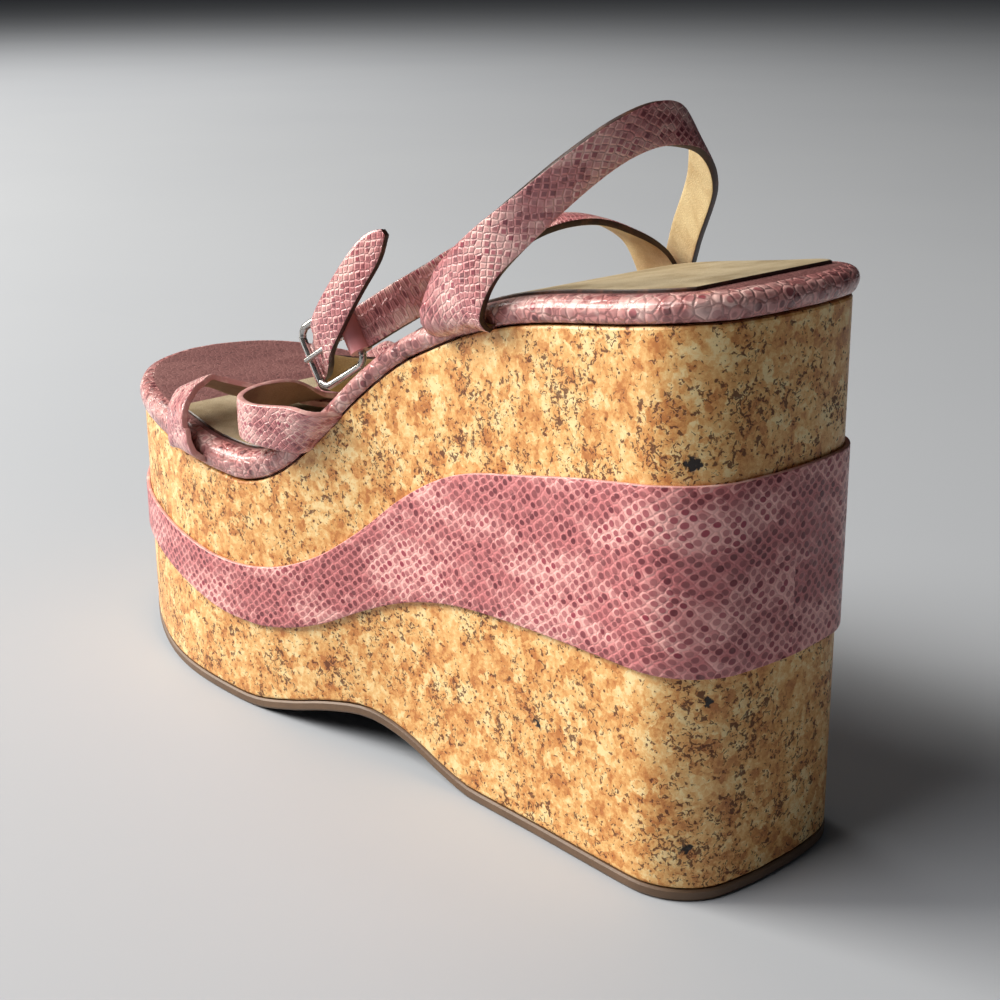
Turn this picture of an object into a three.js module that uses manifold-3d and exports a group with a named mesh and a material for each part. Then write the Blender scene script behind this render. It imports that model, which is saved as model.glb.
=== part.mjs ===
// Left platform sandal: a high cork-covered wedge with a printed band round it, a
// footbed with a rolled rim, two crossing toe straps, an ankle strap and an instep
// strap joined by a buckle. Millimetres, +Z up, toe toward -Y, outer side toward +X.
// The origin is on the floor under the middle of the heel's flat tread.
import * as THREE from "three";
import { mergeVertices } from "three/addons/utils/BufferGeometryUtils.js";
import Module from "manifold-3d";

const LENGTH = 250;          // heel back to toe tip, along the floor
const HEEL_BACK = 35;        // heel back ahead of the origin
const HEEL_CORNER = 16.7;    // plan radius of the heel's two corners
const HEEL_HALF = 29.5;      // half width of the heel
const FLARE = 1.2;           // the walls stand this much further out at the floor
const FLARE_HEIGHT = 130;    // ...and lose it by this height
const OUTSOLE = 3;           // thickness of the outsole
const GAP = 0.3;             // clearance between pieces that touch
const BAND_PROUD = 1.0;      // thickness of the printed band
const SOCK = 0.6;            // thickness of the lining sheet
const SOCK_INSET = 4.5;      // its margin inside the footbed's edge
const STRAP = 2.0;           // thickness of a strap, leather and lining
const WIRE = 1.0;            // radius of the buckle's wire

// Plan outline, half widths on each side at a distance s from the heel back.
const SIDES = [
  { s: 30, lateral: 29.6, medial: 29.4 },
  { s: 60, lateral: 29.7, medial: 28.6 },
  { s: 100, lateral: 31.2, medial: 27.4 },
  { s: 137, lateral: 38.3, medial: 32.6 },
  { s: 165, lateral: 41.5, medial: 38.4 },
  { s: 190, lateral: 40.9, medial: 40.7 },
  { s: 213, lateral: 35.7, medial: 39.4 },
  { s: 231, lateral: 26.8, medial: 33.8 },
  { s: 244, lateral: 14.0, medial: 23.5 },
];
// Heights: top of the cork, the footbed's rolled rim on it, the underside line, and
// the band's two edges.
const HEIGHTS = [
  { s: 0, cork: 133.5, rim: 6.4, under: 0, low: 55.6, high: 99.6 },
  { s: 28, cork: 130, rim: 6.4, under: 0, low: 55.3, high: 96.4 },
  { s: 56, cork: 125.6, rim: 6.4, under: 0, low: 54.2, high: 91 },
  { s: 72, cork: 121, rim: 6.4, under: 0, low: 53, high: 87.6 },
  { s: 84, cork: 116, rim: 6.4, under: 2.4, low: 51, high: 83 },
  { s: 98, cork: 109, rim: 6.8, under: 7.2, low: 47, high: 74.5 },
  { s: 112, cork: 98.2, rim: 7.2, under: 9.8, low: 41, high: 63.3 },
  { s: 126, cork: 84.6, rim: 7.6, under: 7.6, low: 34, high: 53.6 },
  { s: 140, cork: 73.6, rim: 8.0, under: 3.6, low: 29.2, high: 47.2 },
  { s: 154, cork: 68.2, rim: 8.4, under: 0.4, low: 27, high: 43.9 },
  { s: 168, cork: 68.1, rim: 8.4, under: 0, low: 27.2, high: 43.1 },
  { s: 186, cork: 70.6, rim: 8.4, under: 0, low: 30.3, high: 44.7 },
  { s: 206, cork: 72.6, rim: 8.4, under: 0.9, low: 33.8, high: 47.3 },
  { s: 228, cork: 73.6, rim: 8.4, under: 5.4, low: 36.6, high: 49.6 },
  { s: 250, cork: 74, rim: 8.4, under: 11.6, low: 39, high: 51.5 },
];

const wasm = await Module();
wasm.setup();

// A smooth function of s through one column of a table.
function column(rows, key) {
  const slope = (i) => {
    const a = rows[Math.max(i - 1, 0)];
    const b = rows[Math.min(i + 1, rows.length - 1)];
    const before = rows[i][key] - a[key];
    const after = b[key] - rows[i][key];
    if (before * after <= 0) return 0;
    return (b[key] - a[key]) / (b.s - a.s);
  };
  return (s) => {
    const last = rows.length - 1;
    if (s <= rows[0].s) return rows[0][key];
    if (s >= rows[last].s) return rows[last][key];
    const i = rows.findIndex((row) => row.s > s) - 1;
    const span = rows[i + 1].s - rows[i].s;
    const t = (s - rows[i].s) / span;
    const t2 = t * t;
    const t3 = t2 * t;
    return (2 * t3 - 3 * t2 + 1) * rows[i][key] + (t3 - 2 * t2 + t) * span * slope(i)
      + (3 * t2 - 2 * t3) * rows[i + 1][key] + (t3 - t2) * span * slope(i + 1);
  };
}
const corkTop = column(HEIGHTS, "cork");
const underside = column(HEIGHTS, "under");
const bandLow = column(HEIGHTS, "low");
const bandHigh = column(HEIGHTS, "high");
const rimHeight = column(HEIGHTS, "rim");
const rimTop = (s) => corkTop(s) + rimHeight(s);
const wall = (z) => FLARE * (1 - z / FLARE_HEIGHT);

// The closed plan outline as a dense run of points, each with its outward normal.
function makeOutline() {
  const points = [new THREE.Vector3(0, 0, 0)];
  const add = (x, s) => points.push(new THREE.Vector3(x, s, 0));
  const heel = (side) => {
    const run = [[(HEEL_HALF - HEEL_CORNER) * 0.6, 0.4]];
    for (let i = 0; i <= 5; i += 1) {
      const turn = (i / 5) * Math.PI / 2;
      run.push([HEEL_HALF - HEEL_CORNER * (1 - Math.sin(turn)),
        1 + HEEL_CORNER * (1 - Math.cos(turn))]);
    }
    return run.map(([x, s]) => [side * x, s]);
  };
  heel(1).forEach(([x, s]) => add(x, s));
  SIDES.forEach((row) => add(row.lateral, row.s));
  add(-5, LENGTH);
  [...SIDES].reverse().forEach((row) => add(-row.medial, row.s));
  heel(-1).reverse().forEach(([x, s]) => add(x, s));
  const curve = new THREE.CatmullRomCurve3(points, true, "catmullrom", 0.5);
  const count = 1200;
  const run = [];
  for (let i = 0; i < count; i += 1) run.push(curve.getPoint(i / count));
  return run.map((p, i) => {
    const t = run[(i + 1) % count].clone().sub(run[(i + count - 1) % count]).normalize();
    return { x: p.x, s: p.y, nx: t.y, ns: -t.x };
  });
}
const outline = makeOutline();

// The outline's point at a given s on the lateral (1) or medial (-1) side.
function edgeAt(s, side) {
  let best = null;
  outline.forEach((a, i) => {
    const b = outline[(i + 1) % outline.length];
    if ((a.s - s) * (b.s - s) > 0 || a.s === b.s) return;
    const t = (s - a.s) / (b.s - a.s);
    const mix = (key) => a[key] + t * (b[key] - a[key]);
    const point = { x: mix("x"), s, nx: mix("nx"), ns: mix("ns") };
    if (!best || side * point.x > side * best.x) best = point;
  });
  return best;
}

// Stations along the shoe, closer together at the two rounded ends.
function stationList(from, to) {
  const list = [];
  const end = 16;
  for (let i = 0; i < 8; i += 1) list.push(0.25 + end * (1 - Math.cos((i / 8) * Math.PI / 2)));
  for (let i = 0; i <= 30; i += 1) list.push(end + ((LENGTH - end - 26) * i) / 30);
  for (let i = 7; i >= 0; i -= 1) {
    list.push(LENGTH - 0.3 - 25.7 * (1 - Math.cos((i / 8) * Math.PI / 2)));
  }
  return list.filter((s) => s > from && s < to);
}

// One ring of points round the plan, moved out by grow(s), at the height z(s).
function planRing(stations, grow, z) {
  const at = (s, side) => {
    const p = edgeAt(s, side);
    const out = grow(s);
    const along = p.s + out * p.ns;
    return new THREE.Vector3(p.x + out * p.nx, HEEL_BACK - along, z(along));
  };
  return [...stations.map((s) => at(s, -1)), ...[...stations].reverse().map((s) => at(s, 1))];
}

// A closed body skinned over rings of equal count. Open bodies get end caps: "ladder"
// pairs the points across the ring, "fan" closes a small section.
function skin(rings, { closed = false, cap = "fan" } = {}) {
  const n = rings[0].length;
  const positions = rings.flat().flatMap((p) => [p.x, p.y, p.z]);
  const faces = [];
  const quad = (a, b, c, d) => faces.push(a, b, c, a, c, d);
  const steps = closed ? rings.length : rings.length - 1;
  for (let r = 0; r < steps; r += 1) {
    const low = r * n;
    const high = ((r + 1) % rings.length) * n;
    for (let i = 0; i < n; i += 1) {
      const j = (i + 1) % n;
      quad(low + i, low + j, high + j, high + i);
    }
  }
  if (!closed) {
    const top = (rings.length - 1) * n;
    if (cap === "ladder") {
      for (let i = 0; i < n / 2 - 1; i += 1) {
        const j = n - 1 - i;
        quad(i, j, j - 1, i + 1);
        quad(top + i, top + i + 1, top + j - 1, top + j);
      }
    } else {
      for (let i = 1; i < n - 1; i += 1) {
        faces.push(0, i + 1, i);
        faces.push(top, top + i, top + i + 1);
      }
    }
  }
  const geometry = new THREE.BufferGeometry();
  geometry.setAttribute("position", new THREE.Float32BufferAttribute(positions, 3));
  geometry.setIndex(faces);
  return geometry;
}

function solid(geometry) {
  const plain = geometry.clone();
  plain.deleteAttribute("normal");
  plain.deleteAttribute("uv");
  const merged = mergeVertices(plain, 1e-4);
  return new wasm.Manifold(new wasm.Mesh({
    numProp: 3,
    vertProperties: Float32Array.from(merged.attributes.position.array),
    triVerts: Uint32Array.from(merged.index.array),
  }));
}

function geometryOf(manifold) {
  const mesh = manifold.getMesh();
  const geometry = new THREE.BufferGeometry();
  geometry.setAttribute("position", new THREE.BufferAttribute(mesh.vertProperties, 3));
  geometry.setIndex(new THREE.BufferAttribute(mesh.triVerts, 1));
  return geometry;
}

// Layers of the plan from bottom to top, each { grow, z(s) }.
function slab(layers, from = -10, to = LENGTH + 10) {
  const stations = stationList(from, to);
  return skin(layers.map(({ grow, z }) => planRing(stations, grow, z)), { cap: "ladder" });
}

function planBand(low, high) {
  const stations = stationList(-10, LENGTH + 10);
  const ring = (out, z) => planRing(stations, (s) => wall(z(s)) + GAP + out, z);
  return skin([ring(0, low), ring(BAND_PROUD, low), ring(BAND_PROUD, high), ring(0, high)],
    { closed: true });
}

// A strap swept through rows of centre, width direction and width. extra grows it all
// round, to cut its own pocket.
function strapRings(rows, step, extra = 0) {
  const vectors = (pick) => new THREE.CatmullRomCurve3(rows.map(pick), false, "catmullrom", 0.5);
  const centres = vectors(({ x, s, z }) => new THREE.Vector3(x, HEEL_BACK - s, z));
  const across = vectors(({ ax, ay, az }) => new THREE.Vector3(ax, ay, az).normalize());
  const widths = vectors(({ w }) => new THREE.Vector3(w, 0, 0));
  const count = Math.round(centres.getLength() / step);
  const rings = [];
  for (let i = 0; i <= count; i += 1) {
    const t = i / count;
    const centre = centres.getPoint(t);
    const along = centres.getTangent(t);
    const side = across.getPoint(t);
    side.addScaledVector(along, -side.dot(along)).normalize();
    const face = new THREE.Vector3().crossVectors(along, side);
    const half = widths.getPoint(t).x / 2 + extra;
    const thick = STRAP / 2 + extra;
    const corner = (a, b) => centre.clone().addScaledVector(side, a).addScaledVector(face, b);
    rings.push([corner(-half, -thick), corner(half, -thick), corner(half, thick),
      corner(-half, thick)]);
  }
  if (extra > 0) {
    for (const [end, near] of [[0, 1], [count, count - 1]]) {
      rings[end].forEach((p, i) => {
        const out = p.clone().sub(rings[near][i]).normalize().multiplyScalar(extra);
        p.add(out);
      });
    }
  }
  return rings;
}
const strap = (rows, step = 3, extra = 0) => solid(skin(strapRings(rows, step, extra)));

// A round rod through points.
function rod(points, radius, closed = false, sides = 10) {
  const curve = new THREE.CatmullRomCurve3(points, closed, "centripetal");
  const count = Math.max(2, Math.round(curve.getLength() / 1.8));
  const last = closed ? count - 1 : count;
  const rings = [];
  const seed = new THREE.Vector3().subVectors(points[1], points[0]);
  let side = new THREE.Vector3(0.31, 0.52, 0.79).cross(seed).normalize();
  for (let i = 0; i <= last; i += 1) {
    const centre = curve.getPointAt(i / count);
    const along = curve.getTangentAt(i / count);
    side = side.clone().addScaledVector(along, -side.dot(along)).normalize();
    const up = new THREE.Vector3().crossVectors(along, side);
    rings.push(Array.from({ length: sides }, (_, k) => {
      const turn = (k / sides) * 2 * Math.PI;
      return centre.clone().addScaledVector(side, radius * Math.cos(turn))
        .addScaledVector(up, radius * Math.sin(turn));
    }));
  }
  return solid(skin(rings, { closed }));
}

// The buckle's own axes: along the straps, across them, and out from the leg.
const buckleAt = new THREE.Vector3(28.6, HEEL_BACK - 119.1, 113.6);
const along = new THREE.Vector3(0.25, -0.8, -0.545).normalize();
const across = new THREE.Vector3(-0.02, 0.55, -0.83).normalize();
across.addScaledVector(along, -across.dot(along)).normalize();
const outward = new THREE.Vector3().crossVectors(along, across);
const onBuckle = (a, b, c = 0) => buckleAt.clone().addScaledVector(along, a)
  .addScaledVector(across, b).addScaledVector(outward, c);

// A strap row given on the buckle's axes, so that the ankle strap threads the frame.
function onStrap({ a, b, c, w, turn = 0 }) {
  const p = onBuckle(a, b, c);
  const side = across.clone().addScaledVector(along, -turn).normalize();
  return { x: p.x, s: HEEL_BACK - p.y, z: p.z, ax: side.x, ay: side.y, az: side.z, w };
}

// Straps. Rows run from one tucked end to the other: centre x, s, z, the direction
// across the strap (ax, ay, az) and its width w. Ends lie between cork and footbed.
const tuck = 1.4;
const ANKLE = [
  { x: 22, s: 72.5, z: corkTop(72.5) + tuck, ax: 0, ay: 1, az: 0.33, w: 21 },
  { x: 29.4, s: 72.5, z: corkTop(72.5) + tuck, ax: 0, ay: 1, az: 0.33, w: 21 },
  { x: 33.8, s: 72.2, z: 124.8, ax: 0, ay: 1, az: 0.3, w: 20.5 },
  { x: 34.8, s: 70, z: 131.5, ax: 0, ay: 1, az: 0.1, w: 18 },
  { x: 33.7, s: 63.6, z: 140.2, ax: -0.15, ay: 0.8, az: -0.55, w: 12.4 },
  { x: 30, s: 53.4, z: 150, ax: -0.45, ay: 0.35, az: -0.82, w: 10.2 },
  { x: 23.5, s: 44, z: 160, ax: -0.56, ay: 0.12, az: -0.82, w: 9.6 },
  { x: 14, s: 38.6, z: 167, ax: -0.42, ay: 0, az: -0.9, w: 9.6 },
  { x: 3, s: 37, z: 169.3, ax: -0.2, ay: 0.15, az: -0.97, w: 9.6 },
  { x: -8, s: 38.4, z: 165.6, ax: 0.15, ay: 0.65, az: -0.74, w: 9.6 },
  { x: -18.5, s: 45, z: 155, ax: 0.34, ay: 0.93, az: 0, w: 9.6 },
  { x: -28.6, s: 58.4, z: 140, ax: 0.3, ay: 0.94, az: 0.05, w: 9.6 },
  { x: -37.2, s: 70.4, z: 126, ax: 0.12, ay: 0.9, az: -0.42, w: 9.6 },
  { x: -39, s: 81, z: 117, ax: 0, ay: 0.5, az: -0.86, w: 9.6 },
  { x: -38.6, s: 94, z: 110.4, ax: 0, ay: 0.3, az: -0.95, w: 9.6 },
  { x: -36.6, s: 107, z: 107, ax: -0.1, ay: 0, az: -1, w: 9.8 },
  { x: -29, s: 116, z: 105.8, ax: -0.05, ay: -0.45, az: -0.9, w: 9.8 },
  { x: -17, s: 120.5, z: 102.6, ax: 0, ay: -0.68, az: -0.73, w: 9.8 },
  { x: -3, s: 124, z: 99.8, ax: 0, ay: -0.7, az: -0.71, w: 9.8 },
  { x: 10, s: 130, z: 97.6, ax: 0.05, ay: -0.4, az: -0.9, w: 9.8 },
  { x: 21, s: 138, z: 98, ax: 0.05, ay: 0.1, az: -0.99, w: 9.8 },
  ...[
    { a: 20.5, b: 1, c: -4.4, w: 9.8 },
    { a: 15.6, b: 0.6, c: -2.5, w: 9.8 },
    { a: 11.2, b: -0.4, c: 0.4, w: 9.8 },
    { a: 6.8, b: -2.6, c: 3.4, w: 10, turn: 0.2 },
    { a: -0.5, b: -5.4, c: 5.4, w: 9.8, turn: 0.45 },
    { a: -10, b: -9.4, c: 6, w: 9.2, turn: 0.5 },
    { a: -17.6, b: -12.6, c: 5.6, w: 8.4, turn: 0.5 },
    { a: -21.8, b: -14.2, c: 5.2, w: 6, turn: 0.5 },
    { a: -25.2, b: -15, c: 5, w: 1.8, turn: 0.5 },
  ].map(onStrap),
];
const INSTEP = [
  { x: -21, s: 70, z: corkTop(70) + tuck, ax: 0, ay: -1, az: -0.3, w: 15 },
  { x: -28, s: 70, z: corkTop(70) + tuck, ax: 0, ay: -1, az: -0.3, w: 15 },
  { x: -32, s: 70.2, z: 125.4, ax: 0, ay: -1, az: -0.25, w: 14 },
  { x: -30.8, s: 72.4, z: 131.5, ax: -0.1, ay: -1, az: -0.3, w: 12.6 },
  { x: -26, s: 76, z: 137.6, ax: -0.43, ay: -0.89, az: -0.17, w: 12 },
  { x: -17, s: 81, z: 141.6, ax: -0.48, ay: -0.88, az: -0.04, w: 10.8 },
  { x: -6, s: 87, z: 140.6, ax: -0.48, ay: -0.86, az: 0.16, w: 10.8 },
  { x: 5, s: 94.4, z: 134.6, ax: -0.25, ay: -0.82, az: 0.52, w: 10.8 },
  { x: 14, s: 101.6, z: 127.4, ax: 0.25, ay: -0.4, az: 0.88, w: 10.8 },
  { x: 21.7, s: 108.6, z: 121.4, ax: 0.05, ay: -0.45, az: 0.88, w: 10.8 },
  { x: 27.8, s: 117.6, z: 114.4, ax: 0.02, ay: -0.55, az: 0.83, w: 10.8 },
];
const TOE_FRONT = [
  { x: 31, s: 179, z: corkTop(179) + tuck, ax: 0, ay: -1, az: 0.1, w: 17 },
  { x: 40.2, s: 179, z: corkTop(179) + tuck, ax: 0, ay: -1, az: 0.1, w: 17 },
  { x: 45, s: 179.4, z: 73.2, ax: -0.1, ay: -1, az: 0.05, w: 16 },
  { x: 45.4, s: 181.5, z: 78, ax: -0.15, ay: -0.99, az: 0, w: 13.2 },
  { x: 44.8, s: 182, z: 82.3, ax: -0.22, ay: -0.97, az: -0.08, w: 12 },
  { x: 42.4, s: 183.4, z: 85.6, ax: -0.27, ay: -0.96, az: -0.06, w: 11.6 },
  { x: 38, s: 185.3, z: 88.2, ax: -0.37, ay: -0.92, az: -0.12, w: 11.6 },
  { x: 31.7, s: 186, z: 88.9, ax: -0.48, ay: -0.78, az: -0.4, w: 11.6 },
  { x: 24.4, s: 182.6, z: 86, ax: -0.42, ay: -0.76, az: -0.5, w: 11.6 },
  { x: 14, s: 177.6, z: 83, ax: -0.42, ay: -0.86, az: -0.28, w: 11.6 },
  { x: 3, s: 172, z: 80.6, ax: -0.45, ay: -0.9, az: -0.02, w: 11.6 },
  { x: -10, s: 165.6, z: 80.2, ax: -0.45, ay: -0.9, az: 0, w: 11.6 },
  { x: -23, s: 159.5, z: 81.6, ax: -0.4, ay: -0.92, az: 0, w: 11.6 },
  { x: -33, s: 155.4, z: 83, ax: -0.2, ay: -0.98, az: 0, w: 11.6 },
  { x: -40, s: 153.6, z: 80, ax: 0, ay: -1, az: 0, w: 12.5 },
  { x: -40.8, s: 153, z: 73.6, ax: 0, ay: -1, az: 0, w: 13.5 },
  { x: -35.6, s: 153, z: corkTop(153) + tuck, ax: 0, ay: -1, az: 0, w: 14 },
  { x: -27, s: 153, z: corkTop(153) + tuck, ax: 0, ay: -1, az: 0, w: 14 },
];
const TOE_REAR = [
  { x: 27, s: 123, z: corkTop(123) + tuck, ax: 0, ay: -0.72, az: -0.69, w: 14 },
  { x: 35, s: 123, z: corkTop(123) + tuck, ax: 0, ay: -0.72, az: -0.69, w: 14 },
  { x: 40.4, s: 125.5, z: 88.5, ax: 0, ay: -0.6, az: -0.8, w: 13.5 },
  { x: 43.6, s: 133, z: 88.2, ax: 0, ay: -0.2, az: -0.98, w: 12 },
  { x: 45.4, s: 143, z: 87.8, ax: 0, ay: 0, az: -1, w: 10.8 },
  { x: 43, s: 151.5, z: 87.8, ax: 0, ay: 0, az: -1, w: 11.2 },
  { x: 35, s: 156.6, z: 88, ax: 0, ay: -0.2, az: -0.98, w: 12 },
  { x: 24, s: 160.5, z: 87.6, ax: 0, ay: -0.55, az: -0.83, w: 12 },
  { x: 11, s: 166, z: 84, ax: 0.35, ay: -0.9, az: -0.25, w: 11.6 },
  { x: -2, s: 172.6, z: 82.2, ax: 0.4, ay: -0.9, az: 0, w: 11.6 },
  { x: -15, s: 178.6, z: 82.4, ax: 0.4, ay: -0.9, az: 0, w: 11.6 },
  { x: -28, s: 184, z: 85.2, ax: 0.3, ay: -0.95, az: 0.05, w: 11.6 },
  { x: -38, s: 187, z: 86.6, ax: -0.1, ay: -1, az: 0.1, w: 12 },
  { x: -43.6, s: 188, z: 81.4, ax: 0, ay: -1, az: 0.1, w: 12.5 },
  { x: -44, s: 188, z: 75, ax: 0, ay: -1, az: 0.1, w: 13.5 },
  { x: -39, s: 188, z: corkTop(188) + tuck, ax: 0, ay: -1, az: 0.1, w: 14 },
  { x: -30, s: 188, z: corkTop(188) + tuck, ax: 0, ay: -1, az: 0.1, w: 14 },
];

const FRAME_LONG = 16.4;
const FRAME_HALF = 8.4;
function frameLoop() {
  const points = [];
  const corner = 3;
  for (const [a, b, from] of [[corner, -FRAME_HALF + corner, Math.PI],
    [FRAME_LONG - corner, -FRAME_HALF + corner, 1.5 * Math.PI],
    [FRAME_LONG - corner, FRAME_HALF - corner, 0],
    [corner, FRAME_HALF - corner, 0.5 * Math.PI]]) {
    for (let i = 0; i <= 4; i += 1) {
      const turn = from + (i / 4) * Math.PI / 2;
      points.push(onBuckle(a + corner * Math.cos(turn), b + corner * Math.sin(turn)));
    }
  }
  return points;
}
const barLine = [onBuckle(0, -FRAME_HALF), onBuckle(0, 0), onBuckle(0, FRAME_HALF)];
const frame = rod(frameLoop(), WIRE, true, 8);
const barRoom = rod(barLine, WIRE + GAP, false, 8);

// The prong: an eye round the bar and a pin that rests on the frame's far side.
const eye = rod([onBuckle(0, -1.3), onBuckle(0, 0), onBuckle(0, 1.3)], 2.4, false, 10);
const pin = rod([onBuckle(1.2, 0, 1.5), onBuckle(5, 0, 2.2), onBuckle(10, 0, 2.4),
  onBuckle(FRAME_LONG + 0.1, 0, 2.05)], 0.75, false, 8);
const prong = eye.add(pin).subtract(barRoom);

// The instep strap ends in a fold round the bar, slotted for the prong's eye.
const fold = rod([onBuckle(0, -5.4), onBuckle(0, 0), onBuckle(0, 5.4)], 3, false, 12);
const slot = rod([onBuckle(0, -1.65), onBuckle(0, 0), onBuckle(0, 1.65)], 4.2, false, 8);
const pinRoom = rod([onBuckle(0.6, 0, 1.2), onBuckle(5, 0, 2.2), onBuckle(10, 0, 2.4),
  onBuckle(FRAME_LONG + 2, 0, 2.05)], 1.15, false, 8);
const frameRoom = rod(frameLoop(), WIRE + GAP, true, 8);
const instep = strap(INSTEP).add(fold).subtract(frameRoom).subtract(slot).simplify(0.01);
const ankle = strap(ANKLE).subtract(frameRoom).subtract(pinRoom).simplify(0.01);
const toes = strap(TOE_FRONT).add(strap(TOE_REAR)).simplify(0.01);

// Layers: z(s), and how far each stands out from the wall (onWall) or the plan outline.
const onWall = (out, z) => ({ grow: (s) => wall(z(s)) + out, z });
const corkLayers = [
  onWall(-0.5, (s) => underside(s) + OUTSOLE + GAP),
  onWall(0, (s) => underside(s) + OUTSOLE + GAP + 0.6),
  onWall(0, (s) => corkTop(s) - 0.6),
  onWall(-0.6, corkTop),
];
const rimLayers = [[-1.6, 0], [0.3, 0.08], [1.2, 0.36], [1.3, 0.62], [0.4, 0.85],
  [-1.2, 0.97], [-3, 1]].map(([out, part]) => onWall(out, (s) => (
  corkTop(s) + GAP + part * (rimHeight(s) - GAP))));
const soleLayers = [
  onWall(-0.8, underside),
  onWall(0.2, (s) => underside(s) + 0.8),
  onWall(0.2, (s) => underside(s) + OUTSOLE - 0.4),
  onWall(-0.2, (s) => underside(s) + OUTSOLE),
];
const sockLayers = [
  onWall(-SOCK_INSET, (s) => rimTop(s) + GAP),
  onWall(-SOCK_INSET, (s) => rimTop(s) + GAP + SOCK),
];

// Each strap's pocket is the strap moved a little toward the eight corners of a cube.
const ROOM = 0.26;
let footbed = solid(slab(rimLayers));
let cork = solid(slab(corkLayers));
for (const rows of [ANKLE, INSTEP, TOE_FRONT, TOE_REAR]) {
  const body = strap(rows);
  for (let corner = 0; corner < 8; corner += 1) {
    const room = body.translate([1, 2, 4].map((bit) => (corner & bit ? ROOM : -ROOM)));
    footbed = footbed.subtract(room);
    cork = cork.subtract(room);
  }
}

footbed = footbed.decompose().sort((a, b) => b.volume() - a.volume())[0].simplify(0.01);
cork = cork.simplify(0.01);

const sandal = new THREE.Group();
function piece(name, geometry, color, roughness, metalness = 0) {
  const material = new THREE.MeshStandardMaterial({ color, roughness, metalness });
  const mesh = new THREE.Mesh(geometry, material);
  mesh.name = name;
  sandal.add(mesh);
}
piece("outsole", slab(soleLayers), 0x2b2420, 0.7);
piece("platform", geometryOf(cork), 0xc9975a, 0.85);
piece("wave_band", planBand(bandLow, bandHigh), 0xb5677a, 0.4);
piece("footbed", geometryOf(footbed), 0xb8707f, 0.45);
piece("sock", slab(sockLayers, 6, 196), 0xcdb896, 0.7);
piece("toe_straps", geometryOf(toes), 0xb8707f, 0.45);
piece("ankle_strap", geometryOf(ankle), 0xb8707f, 0.45);
piece("instep_strap", geometryOf(instep), 0xb8707f, 0.45);
piece("buckle_frame", geometryOf(frame), 0xb8b8ba, 0.3, 1);
piece("buckle_prong", geometryOf(prong), 0xb8b8ba, 0.3, 1);

export default sandal;
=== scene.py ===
# Left platform sandal: cork wedge, printed leather band, rolled rim, lined straps and a
# wire buckle. Lengths in the tables are millimetres, everything in Blender is metres.
import math

import bmesh
import bpy
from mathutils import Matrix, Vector


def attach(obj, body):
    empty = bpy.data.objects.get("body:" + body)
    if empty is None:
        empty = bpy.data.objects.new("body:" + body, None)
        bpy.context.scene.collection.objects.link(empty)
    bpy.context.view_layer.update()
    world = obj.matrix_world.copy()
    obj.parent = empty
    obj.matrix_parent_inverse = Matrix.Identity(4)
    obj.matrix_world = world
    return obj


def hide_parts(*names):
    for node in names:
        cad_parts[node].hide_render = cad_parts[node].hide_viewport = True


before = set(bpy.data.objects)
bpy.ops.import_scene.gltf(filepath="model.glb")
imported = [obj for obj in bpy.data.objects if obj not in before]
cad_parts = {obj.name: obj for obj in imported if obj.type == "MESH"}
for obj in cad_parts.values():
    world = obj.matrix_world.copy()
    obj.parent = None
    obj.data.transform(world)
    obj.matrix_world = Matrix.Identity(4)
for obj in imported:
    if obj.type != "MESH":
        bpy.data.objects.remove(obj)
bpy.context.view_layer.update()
mm = 0.001
gap = 0.3  # clearance the solids keep from each other


# camera and light come first, so that the rest is judged through them
studio = {
    "cameraAt": (0.2656, 0.2408, 0.2044),
    "lookAt": (-0.0083, -0.0703, 0.0636),
    "lens": 58.0,
    "rollDeg": 0.4,
    "floorColour": "#b3b9c1",
    "worldColour": "#c9ccd2",
    "worldStrength": 0.04,
    "lights": (  # name, place, what it points at, size, watts, colour
        ("keySoftbox", (1.15, -1.75, 1.25), (0, -0.08, 0.07), 1.15, 84.0, "#fff8ee"),
        ("topSoftbox", (0.95, -0.35, 1.25), (0, -0.08, 0.07), 0.80, 12.5, "#fffaf6"),
        ("backdropSoftbox", (-0.6, -2.6, 1.8), (-2.0, -3.0, 0), 1.2, 42.0, "#fff9f2"),
    ),
}


# sRGB hex to the linear colour a node takes
def linear(hexColour):
    parts = [int(hexColour[i:i + 2], 16) / 255 for i in (1, 3, 5)]
    return [c / 12.92 if c <= 0.04045 else ((c + 0.055) / 1.055) ** 2.4 for c in parts] + [1.0]


# Adds one shader node. Sockets hold values, or the outputs that feed them.
def add(tree, kind, sockets=None, **settings):
    made = tree.nodes.new("ShaderNode" + kind)
    for name, value in settings.items():
        setattr(made, name, value)
    for name, value in (sockets or {}).items():
        if isinstance(value, bpy.types.NodeSocket):
            tree.links.new(value, made.inputs[name])
        else:
            made.inputs[name].default_value = value
    return made


def newMaterial(name):
    made = bpy.data.materials.new(name)
    made.use_nodes = True
    made.node_tree.nodes.clear()
    return made, made.node_tree


def finishMaterial(made, sockets):
    tree = made.node_tree
    shader = add(tree, "BsdfPrincipled", sockets)
    add(tree, "OutputMaterial", {"Surface": shader.outputs["BSDF"]})
    return made


def aimed(thing, place, target, rollDeg=0.0):
    direction = Vector(target) - Vector(place)
    turn = direction.to_track_quat("-Z", "Y").to_matrix().to_4x4()
    thing.matrix_world = turn
    thing.rotation_euler = turn.to_euler()
    thing.rotation_euler.rotate_axis("Z", -math.radians(rollDeg))
    thing.location = place


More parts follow.
